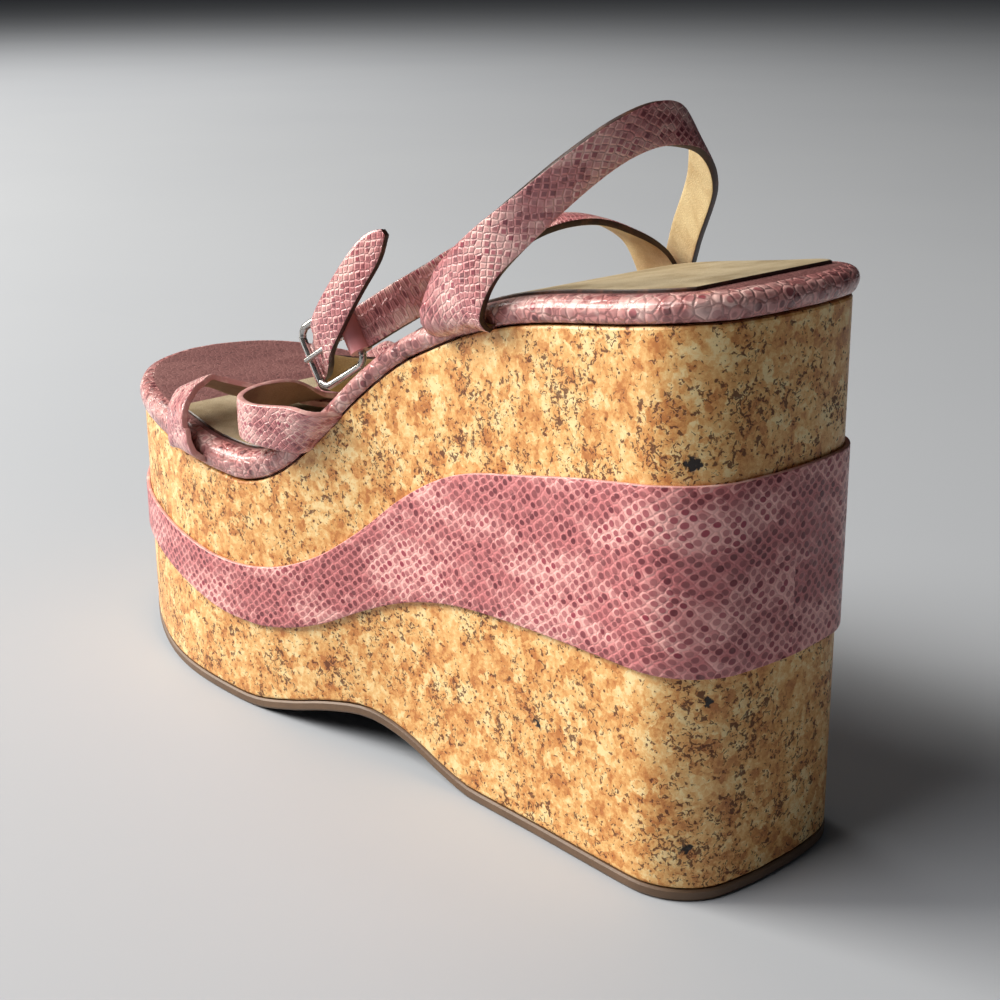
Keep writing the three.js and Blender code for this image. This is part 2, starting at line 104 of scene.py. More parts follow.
def makeStudio():
    scene = bpy.context.scene
    scene.view_settings.view_transform = "Standard"
    camera = bpy.data.objects.new("camera", bpy.data.cameras.new("camera"))
    scene.collection.objects.link(camera)
    camera.data.lens = studio["lens"]
    camera.data.clip_start = 0.01
    aimed(camera, studio["cameraAt"], studio["lookAt"], studio["rollDeg"])
    scene.camera = camera
    for name, place, target, size, watts, colour in studio["lights"]:
        lamp = bpy.data.lights.new(name, "AREA")
        lamp.size, lamp.energy, lamp.color = size, watts, linear(colour)[:3]
        thing = bpy.data.objects.new(name, lamp)
        scene.collection.objects.link(thing)
        aimed(thing, place, target)
    world = bpy.data.worlds.new("studioWorld")
    world.use_nodes = True
    world.node_tree.nodes["Background"].inputs["Color"].default_value = linear(studio["worldColour"])
    world.node_tree.nodes["Background"].inputs["Strength"].default_value = studio["worldStrength"]
    scene.world = world
    bm = bmesh.new()
    bmesh.ops.create_grid(bm, x_segments=1, y_segments=1, size=20)
    mesh = bpy.data.meshes.new("floor")
    bm.to_mesh(mesh)
    bm.free()
    floor = bpy.data.objects.new("floor", mesh)
    scene.collection.objects.link(floor)
    made, tree = newMaterial("paintedFloor")  # matte painted board: even, almost no gloss
    where = add(tree, "TexCoord")
    mottle = add(tree, "TexNoise", {"Vector": where.outputs["Object"], "Scale": 3.0, "Detail": 3.0})
    tone = add(tree, "Mix", {0: mottle.outputs[0], 6: linear(studio["floorColour"]),
                             7: linear("#b9bfc6")}, data_type="RGBA")
    mesh.materials.append(finishMaterial(made, {"Base Color": tone.outputs[2], "Roughness": 0.75}))


makeStudio()
print("stage: camera, lights and floor")


# the shoe's form, as the solids have it
form = {
    "length": 250.0, "heelBack": 35.0, "heelCorner": 16.7, "heelHalf": 29.5,
    "flare": 1.2, "flareHeight": 130.0, "outsole": 3.0, "bandProud": 1.0,
    "sockInset": 4.5, "strapThick": 2.0, "toeTip": (-5.0, 250.0),
    "sides": (  # s from the heel's back, half width on the outer side, on the inner side
        (30, 29.6, 29.4), (60, 29.7, 28.6), (100, 31.2, 27.4), (137, 38.3, 32.6), (165, 41.5, 38.4),
        (190, 40.9, 40.7), (213, 35.7, 39.4), (231, 26.8, 33.8), (244, 14.0, 23.5)),
    "heights": (  # s, cork's top, rim, underside, band's lower edge, band's upper edge
        (0, 133.5, 6.4, 0, 55.6, 99.6), (28, 130, 6.4, 0, 55.3, 96.4),
        (56, 125.6, 6.4, 0, 54.2, 91), (72, 121, 6.4, 0, 53, 87.6),
        (84, 116, 6.4, 2.4, 51, 83), (98, 109, 6.8, 7.2, 47, 74.5),
        (112, 98.2, 7.2, 9.8, 41, 63.3), (126, 84.6, 7.6, 7.6, 34, 53.6),
        (140, 73.6, 8, 3.6, 29.2, 47.2), (154, 68.2, 8.4, 0.4, 27, 43.9),
        (168, 68.1, 8.4, 0, 27.2, 43.1), (186, 70.6, 8.4, 0, 30.3, 44.7),
        (206, 72.6, 8.4, 0.9, 33.8, 47.3), (228, 73.6, 8.4, 5.4, 36.6, 49.6),
        (250, 74, 8.4, 11.6, 39, 51.5)),
}


# A smooth function of s through one column of the heights
def heightColumn(index):
    rows = form["heights"]
    last = len(rows) - 1

    def slope(i):
        a, b = rows[max(i - 1, 0)], rows[min(i + 1, last)]
        if (rows[i][index] - a[index]) * (b[index] - rows[i][index]) <= 0:
            return 0.0
        return (b[index] - a[index]) / (b[0] - a[0])

    def value(s):
        if s <= rows[0][0]:
            return rows[0][index]
        if s >= rows[last][0]:
            return rows[last][index]
        i = next(k for k, row in enumerate(rows) if row[0] > s) - 1
        span = rows[i + 1][0] - rows[i][0]
        t = (s - rows[i][0]) / span
        return ((2 * t ** 3 - 3 * t ** 2 + 1) * rows[i][index]
                + (t ** 3 - 2 * t ** 2 + t) * span * slope(i)
                + (3 * t ** 2 - 2 * t ** 3) * rows[i + 1][index]
                + (t ** 3 - t ** 2) * span * slope(i + 1))
    return value


corkTop, rimHeight, underside, bandLow, bandHigh = [heightColumn(i) for i in range(1, 6)]


def rimTop(s):
    return corkTop(s) + rimHeight(s)


# The walls lean out a little towards the floor
def wall(z):
    return form["flare"] * (1 - z / form["flareHeight"])


# A point on the smooth curve through points, t from 0 to 1
def curvePoint(points, t, closed=False):
    count = len(points)
    spans = count if closed else count - 1
    x = min(max(t, 0.0), 1.0) * spans
    i = min(int(x), spans - 1)
    x -= i

    def at(k):
        if closed:
            return points[k % count]
        if k < 0:
            return points[0] * 2 - points[1]
        if k >= count:
            return points[-1] * 2 - points[-2]
        return points[k]
    a, b, c, d = at(i - 1), at(i), at(i + 1), at(i + 2)
    return (b * 2 + (c - a) * x + (a * 2 - b * 5 + c * 4 - d) * x ** 2
            + (b * 3 - a - c * 3 + d) * x ** 3) * 0.5


# The plan outline as many points (x, s), each with its outward normal
def makeOutline():
    corner, half = form["heelCorner"], form["heelHalf"]
    heel = [((half - corner) * 0.6, 0.4)]
    for i in range(6):
        turn = i / 5 * math.pi / 2
        heel.append((half - corner * (1 - math.sin(turn)), 1 + corner * (1 - math.cos(turn))))
    points = [(0, 0)] + heel + [(row[1], row[0]) for row in form["sides"]] + [form["toeTip"]]
    points += [(-row[2], row[0]) for row in reversed(form["sides"])]
    points += [(-x, s) for x, s in reversed(heel)]
    points = [Vector((x, s, 0)) for x, s in points]
    count = 1200
    run = [curvePoint(points, i / count, True) for i in range(count)]
    made = []
    for i, p in enumerate(run):
        t = (run[(i + 1) % count] - run[i - 1]).normalized()
        made.append((p.x, p.y, t.y, -t.x))
    return made


outline = makeOutline()
tipIndex = max(range(len(outline)), key=lambda i: outline[i][1])
outerChain = outline[:tipIndex + 1]
innerChain = [outline[0]] + outline[:tipIndex - 1:-1]


def mixed(a, b, t):
    return tuple(p + (q - p) * t for p, q in zip(a, b))


# The outline's point at s on the outer (1) or inner (-1) side
def edgeAt(s, side):
    chain = outerChain if side > 0 else innerChain
    low, high = 0, len(chain) - 1
    while high - low > 1:
        middle = (low + high) // 2
        if chain[middle][1] <= s:
            low = middle
        else:
            high = middle
    a, b = chain[low], chain[high]
    return mixed(a, b, 0 if a[1] == b[1] else (s - a[1]) / (b[1] - a[1]))


ringLengths = [0.0]
for a, b in zip(outline, outline[1:] + outline[:1]):
    ringLengths.append(ringLengths[-1] + math.hypot(b[0] - a[0], b[1] - a[1]))


# The outline's point at a share of the way round, from the heel past the outer side
def roundAt(share):
    want = share % 1.0 * ringLengths[-1]
    low, high = 0, len(outline)
    while high - low > 1:
        middle = (low + high) // 2
        if ringLengths[middle] <= want:
            low = middle
        else:
            high = middle
    t = (want - ringLengths[low]) / (ringLengths[high] - ringLengths[low])
    return mixed(outline[low], outline[high % len(outline)], t)


# A point moved out from the outline, at height z(s), in metres
def placed(point, out, z):
    x, s, nx, ns = point
    along = s + out * ns
    return Vector((x + out * nx, form["heelBack"] - along, z(along))) * mm


# mesh makers
def makePiece(name, bm, materials, replaces, sharpDeg=50):
    mesh = bpy.data.meshes.new(name)
    bm.to_mesh(mesh)
    bm.free()
    for material in materials:
        mesh.materials.append(material)
    mesh.shade_smooth()
    mesh.set_sharp_from_angle(angle=math.radians(sharpDeg))
    made = bpy.data.objects.new(name, mesh)
    bpy.context.scene.collection.objects.link(made)
    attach(made, "root")
    if replaces:
        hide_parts(*replaces)
    return made


# A grid whose points remember where they stand in it, from 0 to 1 each way
def rememberedGrid(across, along):
    bm = bmesh.new()
    uvs = bm.loops.layers.uv.new("UVMap")
    first, second = bm.verts.layers.float.new("first"), bm.verts.layers.float.new("second")
    bmesh.ops.create_grid(bm, x_segments=along, y_segments=across, size=0.5)
    for v in bm.verts:
        v[first], v[second] = v.co.x + 0.5, v.co.y + 0.5
    return bm, uvs, first, second


# A sheet with a face side, a back side and painted edges. faceAt and backAt give the
# two sides' points, uvAt the pattern's place, in metres.
def makeSheet(across, along, faceAt, backAt, uvAt, closed=False, rounding=0.3):
    bm, uvs, first, second = rememberedGrid(across, along)
    shown = bm.faces[:]
    hidden = [g for g in bmesh.ops.extrude_face_region(bm, geom=shown)["geom"]
              if isinstance(g, bmesh.types.BMFace)]
    backVerts = {v for f in hidden for v in f.verts}
    for v in bm.verts:
        v.co = (backAt if v in backVerts else faceAt)(v[first], v[second])
    for f in bm.faces:
        f.material_index = 2
        for loop in f.loops:
            loop[uvs].uv = uvAt(loop.vert[first], loop.vert[second])
    for f in shown:
        f.material_index = 0
    for f in hidden:
        f.material_index = 1
    if closed:
        ends = [f for f in bm.faces if f.material_index == 2
                and (all(v[first] < 1e-4 for v in f.verts) or all(v[first] > 0.9999 for v in f.verts))]
        bmesh.ops.delete(bm, geom=ends, context="FACES")
        bmesh.ops.remove_doubles(bm, verts=bm.verts[:], dist=1e-6)
    bmesh.ops.recalc_face_normals(bm, faces=bm.faces[:])
    rims = [e for e in bm.edges if len({f.material_index for f in e.link_faces}) > 1]
    bmesh.ops.bevel(bm, geom=rims, offset=rounding * mm, offset_type="OFFSET", segments=2,
                    profile=0.5, affect="EDGES", clamp_overlap=True, material=-1)
    return bm


# Stations along the shoe, closer together at its two rounded ends
def stationList(start, stop, spacing=4.0):
    ends, reach, toeReach = 14, 18.0, 27.0
    made = [0.25 + reach * (1 - math.cos(i / ends * math.pi / 2)) for i in range(ends)]
    middle = round((form["length"] - reach - toeReach) / spacing)
    made += [reach + (form["length"] - reach - toeReach) * i / middle for i in range(middle + 1)]
    made += [form["length"] - 0.3 - (toeReach - 0.3) * (1 - math.cos(i / ends * math.pi / 2))
             for i in reversed(range(ends))]
    return [s for s in made if start < s < stop]


# A solid stacked on the plan, from layers of (how far out, height), the lowest first
def makeSlab(layers, start=-10.0, stop=260.0, across=12):
    stations = stationList(start, stop)
    last = len(stations) - 1
    bm, uvs, first, second = rememberedGrid(across, last)

    def settle(verts, layer):
        out, z = layer
        for v in verts:
            s = stations[round(v[first] * last)]
            inner, outer = [placed(edgeAt(s, side), out(s), z) for side in (-1, 1)]
            v.co = inner.lerp(outer, v[second])
            v.co.z = z(form["heelBack"] - v.co.y / mm) * mm
    region = bm.faces[:]
    bottom = region
    settle(bm.verts, layers[0])
    for layer in layers[1:]:
        made = bmesh.ops.extrude_face_region(bm, geom=region)["geom"]
        region = [g for g in made if isinstance(g, bmesh.types.BMFace)]
        settle({v for f in region for v in f.verts}, layer)
    for f in bm.faces:
        f.material_index = 0
    for f in region:
        f.material_index = 1
    for f in bottom:
        if f.is_valid:
            f.material_index = 2
    bmesh.ops.recalc_face_normals(bm, faces=bm.faces[:])
    for f in bm.faces:
        for loop in f.loops:
            loop[uvs].uv = loop.vert.co.xy
    return bm


def onWall(out, z):
    return (lambda s: wall(z(s)) + out), z


# cork block
cork = {
    "round": 0.7,
    "tones": ((0.35, "#bb7437"), (0.43, "#d69450"), (0.495, "#e6ae68"), (0.56, "#f0c37f"),
              (0.645, "#f9dda2")),
    # the pore colour is near black: the pores' own dark with painted shade in the hollows
    "fleck": "#5a2b12", "poreAndShade": "#1b0c06",
    "patch": 6.5, "grit": 1.7, "granule": 3.4, "fleckSize": 1.1, "strokeSize": 4.2, "dotSpacing": 2.2,
    # hollows and knots in the sheet: place, radius
    "knots": (((25.3, 28.6, 104.1), 2.0), ((23.4, 29.6, 107.8), 0.8), ((30.5, -13.1, 30.6), 1.3),
              ((22.1, 31.9, 49.7), 1.5), ((25.0, 30.1, 13.6), 1.5)),
    # zones where dark flecks crowd: place, radius
    "crowds": (((28.0, 22.0, 106.0), 12.0), ((26.0, 28.0, 14.0), 17.0), ((30.0, -14.0, 34.0), 12.0),
               ((29.7, -6.0, 113.0), 15.0), ((34.0, -88.0, 20.0), 14.0), ((31.0, -70.0, 84.0), 12.0),
               ((12.0, 36.0, 40.0), 14.0), ((16.0, 35.0, 116.0), 12.0), ((29.0, -30.0, 104.0), 11.0)),
}


# Dark strokes of bark: thin lines where a noise crosses its middle, kept only in places
def corkStrokes(tree, where, crowd, size, start):
    moved = add(tree, "Mapping", {"Vector": where, "Location": (start, 0, 0),
                                  "Rotation": (start, 0.4, 0)})
    line = add(tree, "TexNoise", {"Vector": moved.outputs[0], "Scale": 1 / (size * mm), "Detail": 2.0})
    off = add(tree, "Math", {0: line.outputs[0], 1: 0.5}, operation="SUBTRACT")
    off = add(tree, "Math", {0: off.outputs[0]}, operation="ABSOLUTE")
    core = add(tree, "MapRange", {"Value": off.outputs[0], "From Min": 0.046, "From Max": 0.026})
    keep = add(tree, "TexNoise", {"Vector": moved.outputs[0], "Scale": 2.1 / (size * mm),
                                  "Detail": 1.0})
    least = add(tree, "MapRange", {"Value": crowd, "To Min": 0.65, "To Max": 0.505})
    over = add(tree, "Math", {0: keep.outputs[0], 1: least.outputs[0]}, operation="SUBTRACT")
    on = add(tree, "MapRange", {"Value": over.outputs[0], "From Min": 0.0, "From Max": 0.03})
    return add(tree, "Math", {0: core.outputs[0], 1: on.outputs[0]}, operation="MULTIPLY").outputs[0]


# Natural cork sheet, sanded and waxed: warm mottled tan with granules, dark flecks, and pores painted
# near black with shade in them
def corkMaterial():
    made, tree = newMaterial("waxedCork")
    where = add(tree, "TexCoord").outputs["Object"]
    warpNoise = add(tree, "TexNoise", {"Vector": where, "Scale": 1 / (1.3 * mm), "Detail": 2.0})
    warp = add(tree, "VectorMath", {0: warpNoise.outputs["Color"], 1: (0.5, 0.5, 0.5)},
               operation="SUBTRACT")
    warpSmall = add(tree, "VectorMath", {0: warp.outputs[0], "Scale": 0.0022}, operation="SCALE")
    bent = add(tree, "VectorMath", {0: where, 1: warpSmall.outputs[0]}, operation="ADD").outputs[0]
    # tones: broad patches, fine grit and pressed crumbs, each a little lighter or darker
    patches = add(tree, "TexNoise", {"Vector": where, "Scale": 1 / (cork["patch"] * mm), "Detail": 3.0})
    grit = add(tree, "TexNoise", {"Vector": bent, "Scale": 1 / (cork["grit"] * mm), "Detail": 4.0,
                                  "Roughness": 0.65})
    crumbs = add(tree, "TexVoronoi", {"Vector": bent, "Scale": 1 / (cork["granule"] * mm)})
    crumbTone = add(tree, "SeparateColor", {0: crumbs.outputs["Color"]})
    level = add(tree, "Mix", {0: 0.6, 2: patches.outputs[0], 3: grit.outputs[0]})
    level = add(tree, "Math", {0: crumbTone.outputs[0], 1: 0.16, 2: level.outputs[0]},
                operation="MULTIPLY_ADD")
    level = add(tree, "Math", {0: level.outputs[0], 1: 0.075}, operation="SUBTRACT")
    ramp = add(tree, "ValToRGB", {0: level.outputs[0]})
    for i, (place, colour) in enumerate(cork["tones"]):
        stop = ramp.color_ramp.elements[i] if i < 2 else ramp.color_ramp.elements.new(place)
        stop.position, stop.color = place, linear(colour)
    # where flecks crowd together
    crowdNoise = add(tree, "TexNoise", {"Vector": where, "Scale": 1 / (11 * mm), "Detail": 2.0})
    crowd = add(tree, "MapRange", {"Value": crowdNoise.outputs[0], "From Min": 0.4,
                                   "From Max": 0.72}).outputs[0]
    for place, radius in cork["crowds"]:
        away = add(tree, "VectorMath", {0: where, 1: Vector(place) * mm}, operation="DISTANCE")
        near = add(tree, "MapRange", {"Value": away.outputs["Value"], "From Min": radius * mm,
                                      "From Max": 0.0},
                   interpolation_type="SMOOTHSTEP")
        crowd = add(tree, "Math", {0: crowd, 1: near.outputs[0]}, operation="MAXIMUM").outputs[0]
    # angular flecks, short strokes of bark and pin dots, all under a millimetre wide
    flecks = add(tree, "TexNoise", {"Vector": bent, "Scale": 1 / (cork["fleckSize"] * mm),
                                    "Detail": 2.5,
                                    "Roughness": 0.6})
    fleckEdge = add(tree, "MapRange", {"Value": crowd, "To Min": 0.7, "To Max": 0.575})
    isFleck = add(tree, "Math", {0: flecks.outputs[0], 1: fleckEdge.outputs[0]}, operation="SUBTRACT")
    dark = add(tree, "MapRange", {"Value": isFleck.outputs[0], "From Min": 0.0,
                                  "From Max": 0.03}).outputs[0]
    for size, start in ((cork["strokeSize"], 0.0), (cork["strokeSize"] * 0.62, 1.9)):
        stroke = corkStrokes(tree, bent, crowd, size, start)
        dark = add(tree, "Math", {0: dark, 1: stroke}, operation="MAXIMUM").outputs[0]
    dots = add(tree, "TexVoronoi", {"Vector": where, "Scale": 1 / (cork["dotSpacing"] * mm)})
    dotPick = add(tree, "SeparateColor", {0: dots.outputs["Color"]})
    dotLeast = add(tree, "MapRange", {"Value": crowd, "To Min": 0.88, "To Max": 0.35})
    dotOn = add(tree, "Math", {0: dotPick.outputs[1], 1: dotLeast.outputs[0]}, operation="GREATER_THAN")
    dotCore = add(tree, "MapRange", {"Value": dots.outputs["Distance"], "From Min": 0.19,
                                     "From Max": 0.12})
    isDot = add(tree, "Math", {0: dotOn.outputs[0], 1: dotCore.outputs[0]}, operation="MULTIPLY")
    dark = add(tree, "Math", {0: dark, 1: isDot.outputs[0]}, operation="MAXIMUM").outputs[0]
    # knots: ragged hollows, near black: the cork's own dark pores with painted shade inside them
    wide = add(tree, "VectorMath", {0: warp.outputs[0], "Scale": 0.004}, operation="SCALE")
    ragged = add(tree, "VectorMath", {0: where, 1: wide.outputs[0]}, operation="ADD")
    isPore = 0.0
    for place, radius in cork["knots"]:
        away = add(tree, "VectorMath", {0: ragged.outputs[0], 1: Vector(place) * mm},
                   operation="DISTANCE")
        near = add(tree, "MapRange", {"Value": away.outputs["Value"], "From Min": radius * mm,
                                      "From Max": radius * 0.7 * mm})
        isPore = add(tree, "Math", {0: isPore, 1: near.outputs[0]}, operation="MAXIMUM").outputs[0]
    fleckShare = add(tree, "Math", {0: dark, 1: 0.88}, operation="MULTIPLY")
    tone = add(tree, "Mix", {0: fleckShare.outputs[0], 6: ramp.outputs[0], 7: linear(cork["fleck"])},
               data_type="RGBA")
    tone = add(tree, "Mix", {0: isPore, 6: tone.outputs[2], 7: linear(cork["poreAndShade"])}, data_type="RGBA")
    # wax fills the grain, so pores stay dull and the faces have a soft shine
    rough = add(tree, "MapRange", {"Value": dark, "To Min": 0.46, "To Max": 0.75})
    grain = add(tree, "TexNoise", {"Vector": bent, "Scale": 1 / (0.7 * mm), "Detail": 3.0})
    high = add(tree, "Math", {0: grain.outputs[0], 1: 0.4}, operation="MULTIPLY")
    high = add(tree, "Math", {0: high.outputs[0], 1: dark}, operation="SUBTRACT")
    high = add(tree, "Math", {0: isPore, 1: -2.5, 2: high.outputs[0]}, operation="MULTIPLY_ADD")
    bump = add(tree, "Bump", {"Strength": 0.7, "Distance": 0.00022, "Height": high.outputs[0]})
    return finishMaterial(made, {"Base Color": tone.outputs[2], "Roughness": rough.outputs[0],
                                 "Normal": bump.outputs[0], "Coat Weight": 0.12, "Coat Roughness": 0.3})


def foot(s):
    return underside(s) + form["outsole"] + gap


corkFinish = corkMaterial()
r = cork["round"]
corkBlock = makeSlab([
    onWall(-r, foot), onWall(-0.3 * r, lambda s: foot(s) + 0.3 * r), onWall(0, lambda s: foot(s) + r),
    onWall(0, lambda s: corkTop(s) - r), onWall(-0.3 * r, lambda s: corkTop(s) - 0.3 * r),
    onWall(-r, corkTop)])
makePiece("corkBlock", corkBlock, [corkFinish] * 3, ["platform"])
print("stage: cork block")


# printed leather, one recipe for the band, the rim, the footbed and the straps
# Embossed calf printed with scales: pink net, darker scale centres, lacquered shine
def scaleLeather(name, spec):
    made, tree = newMaterial(name)
    if spec.get("flat", True):
        where = add(tree, "UVMap", uv_map="UVMap").outputs[0]
    else:
        where = add(tree, "TexCoord").outputs["Object"]
    shape = "2D" if spec.get("flat", True) else "3D"
    wander = add(tree, "TexNoise", {"Vector": where, "Scale": 1 / (9 * mm), "Detail": 1.0})
    wander = add(tree, "VectorMath", {0: wander.outputs["Color"], 1: (0.5, 0.5, 0.5)},
                 operation="SUBTRACT")
    wander = add(tree, "VectorMath", {0: wander.outputs[0], "Scale": spec["wander"] * mm},
                 operation="SCALE")
    bent = add(tree, "VectorMath", {0: where, 1: wander.outputs[0]}, operation="ADD").outputs[0]
    pitchAlong, pitchAcross = spec["pitch"]
    size = (1 / (pitchAlong * mm), 1 / (pitchAcross * mm), 1 / (pitchAcross * mm))
    rows = add(tree, "Mapping", {"Vector": bent, "Scale": size,
                                 "Rotation": (0, 0, math.radians(spec["turn"]))})
    cells = add(tree, "TexVoronoi", {"Vector": rows.outputs[0], "Scale": 1.0,
                                     "Randomness": spec["jitter"]},
                voronoi_dimensions=shape, distance=spec.get("metric", "CHEBYCHEV"))
    lines = add(tree, "TexVoronoi", {"Vector": rows.outputs[0], "Scale": 1.0,
                                     "Randomness": spec["jitter"]},
                voronoi_dimensions=shape, feature="DISTANCE_TO_EDGE")
    own = add(tree, "SeparateColor", {0: cells.outputs["Color"]})
    # saddles: broad darker patches, which step from scale to scale
    reach = 1 / (spec["saddle"] * mm)
    saddle = add(tree, "Mapping", {"Vector": where, "Scale": (reach * 0.6, reach * 1.5, reach),
                                   "Rotation": (0, 0, 0.7)})
    saddle = add(tree, "TexNoise", {"Vector": saddle.outputs[0], "Scale": 1.0, "Detail": 2.0})
    step = add(tree, "Math", {0: own.outputs[0], 1: 0.13, 2: saddle.outputs[0]},
               operation="MULTIPLY_ADD")
    deep = add(tree, "MapRange", {"Value": step.outputs[0], "From Min": spec["balance"] - 0.09,
                                  "From Max": spec["balance"] + 0.09}, interpolation_type="SMOOTHSTEP")
    centre = add(tree, "Mix", {0: deep.outputs[0], 6: linear(spec["rose"]), 7: linear(spec["wine"])},
                 data_type="RGBA")
    net = add(tree, "Mix", {0: deep.outputs[0], 6: linear(spec["blush"]), 7: linear(spec["dusk"])},
              data_type="RGBA")
    inside = add(tree, "MapRange", {"Value": cells.outputs["Distance"], "From Min": spec["spot"] + 0.08,
                                    "From Max": spec["spot"] - 0.05}, interpolation_type="SMOOTHSTEP")
    strength = add(tree, "MapRange", {"Value": own.outputs[1], "To Min": spec["faint"], "To Max": 1.0})
    spot = add(tree, "Math", {0: inside.outputs[0], 1: strength.outputs[0]}, operation="MULTIPLY")
    tone = add(tree, "Mix", {0: spot.outputs[0], 6: net.outputs[2], 7: centre.outputs[2]},
               data_type="RGBA")
    # the grooves between the scales turn dark: partly the print's dark joints, partly painted shade in
    # the grooves
    crease = add(tree, "MapRange", {"Value": lines.outputs[0], "From Min": 0.0,
                                    "From Max": spec["crease"],
                                    "To Min": spec["creaseDarkAndShade"], "To Max": 0.0})
    tone = add(tree, "Mix", {0: crease.outputs[0], 6: tone.outputs[2], 7: linear(spec["wine"])},
               data_type="RGBA")
    # the print is paler in patches: partly rubbed wear, partly painted highlight standing in for the
    # glints of the gloss
    rubAndGlint = add(tree, "TexNoise", {"Vector": where, "Scale": 1 / (4.5 * mm), "Detail": 4.0})
    rubbedAndGlint = add(tree, "MapRange", {"Value": rubAndGlint.outputs[0], "From Min": 0.52, "From Max": 0.75,
                                    "To Min": 0.0, "To Max": spec["rubAndGlint"]})
    tone = add(tree, "Mix", {0: rubbedAndGlint.outputs[0], 6: tone.outputs[2], 7: linear(spec["blush"])},
               data_type="RGBA")
    plate = add(tree, "MapRange", {"Value": lines.outputs[0], "From Min": 0.0, "From Max": 0.2},
                interpolation_type="SMOOTHSTEP")
    wrinkle = add(tree, "TexNoise", {"Vector": where, "Scale": 1 / (1.8 * mm), "Detail": 4.0})
    high = add(tree, "Math", {0: wrinkle.outputs[0], 1: 0.5, 2: plate.outputs[0]},
               operation="MULTIPLY_ADD")
    bump = add(tree, "Bump", {"Strength": spec["relief"], "Distance": 0.00022,
                              "Height": high.outputs[0]})
    rough = add(tree, "MapRange", {"Value": own.outputs[2], "To Min": spec["gloss"],
                                   "To Max": spec["gloss"] + 0.2})
    return finishMaterial(made, {"Base Color": tone.outputs[2], "Roughness": rough.outputs[0],
                                 "Normal": bump.outputs[0], "Coat Weight": spec["coat"],
                                 "Coat Roughness": 0.18})


pinks = {"blush": "#f8b8b2", "dusk": "#d07b7d", "rose": "#9a3045", "wine": "#661a28"}
bandPrint = dict(pinks, pitch=(2.2, 2.0), turn=42, jitter=0.42, wander=2.2, saddle=20, balance=0.53,
                 spot=0.35, faint=0.5, crease=0.05, creaseDarkAndShade=0.15, rubAndGlint=0.15, relief=0.5, gloss=0.36,
                 coat=0.2, metric="EUCLIDEAN")
strapPrint = dict(blush="#f6c4bd", dusk="#d28587", rose="#a94658", wine="#6a1f2e", pitch=(1.8, 1.6),
                  turn=45, jitter=0.45, wander=1.2, saddle=12, balance=0.56,
                  spot=0.3, faint=0.25, crease=0.08, creaseDarkAndShade=0.4, rubAndGlint=0.4, relief=0.9, gloss=0.28,
                  coat=0.6)
bellyPrint = dict(strapPrint, pitch=(1.15, 3.4), turn=0, jitter=0.45, balance=0.5, metric="EUCLIDEAN")
rimPrint = dict(flat=False, blush="#efc6bf", dusk="#cd8a87", rose="#a9535b", wine="#5e1f29",
                pitch=(2.6, 2.6), turn=20, jitter=0.8, wander=1.0, saddle=9, balance=0.5, spot=0.42,
                faint=0.3, crease=0.09, creaseDarkAndShade=0.6, rubAndGlint=0.5, relief=0.9, gloss=0.24, coat=0.45,
                metric="EUCLIDEAN")
# toe cover: mauve calf whose colours are darkened as painted shade, for the shade that lies over the toe
toePrintShadeDarkened = dict(flat=False, blush="#865855", dusk="#7a4c4a", rose="#6b403e", wine="#522c2c",
                pitch=(1.6, 1.6), turn=30, jitter=0.8, wander=1.0, saddle=18, balance=0.52, spot=0.34,
                faint=0.1, crease=0.05, creaseDarkAndShade=0.2, rubAndGlint=0.3, relief=0.35, gloss=0.55, coat=0.03,
                metric="EUCLIDEAN")


# Undyed calf lining: matte cream, fine grain, a little soiled
def liningMaterial(name, light, dark):
    made, tree = newMaterial(name)
    where = add(tree, "TexCoord").outputs["Object"]
    cloud = add(tree, "TexNoise", {"Vector": where, "Scale": 1 / (14 * mm), "Detail": 5.0,
                                   "Roughness": 0.6})
    soil = add(tree, "MapRange", {"Value": cloud.outputs[0], "From Min": 0.35, "From Max": 0.7},
               interpolation_type="SMOOTHSTEP")
    tone = add(tree, "Mix", {0: soil.outputs[0], 6: linear(light), 7: linear(dark)}, data_type="RGBA")
    grain = add(tree, "TexVoronoi", {"Vector": where, "Scale": 1 / (0.55 * mm)},
                feature="DISTANCE_TO_EDGE")
    dots = add(tree, "MapRange", {"Value": grain.outputs[0], "From Min": 0.0, "From Max": 0.3})
    shade = add(tree, "MapRange", {"Value": dots.outputs[0], "To Min": 0.86, "To Max": 1.03})
    tone = add(tree, "VectorMath", {0: tone.outputs[2], "Scale": shade.outputs[0]}, operation="SCALE")
    bump = add(tree, "Bump", {"Strength": 0.5, "Distance": 0.0001, "Height": dots.outputs[0]})
    return finishMaterial(made, {"Base Color": tone.outputs[0], "Roughness": 0.62,
                                 "Normal": bump.outputs[0]})


# Cut leather edge sealed with brown edge paint: dark, slightly shiny, worn paler in spots
def edgeMaterial(name, paint, worn):
    made, tree = newMaterial(name)
    where = add(tree, "TexCoord").outputs["Object"]
    wear = add(tree, "TexNoise", {"Vector": where, "Scale": 1 / (3 * mm), "Detail": 4.0})
    share = add(tree, "MapRange", {"Value": wear.outputs[0], "From Min": 0.5, "From Max": 0.72})
    tone = add(tree, "Mix", {0: share.outputs[0], 6: linear(paint), 7: linear(worn)}, data_type="RGBA")
    bump = add(tree, "Bump", {"Strength": 0.3, "Distance": 0.0001, "Height": wear.outputs[0]})
    return finishMaterial(made, {"Base Color": tone.outputs[2], "Roughness": 0.42,
                                 "Normal": bump.outputs[0]})


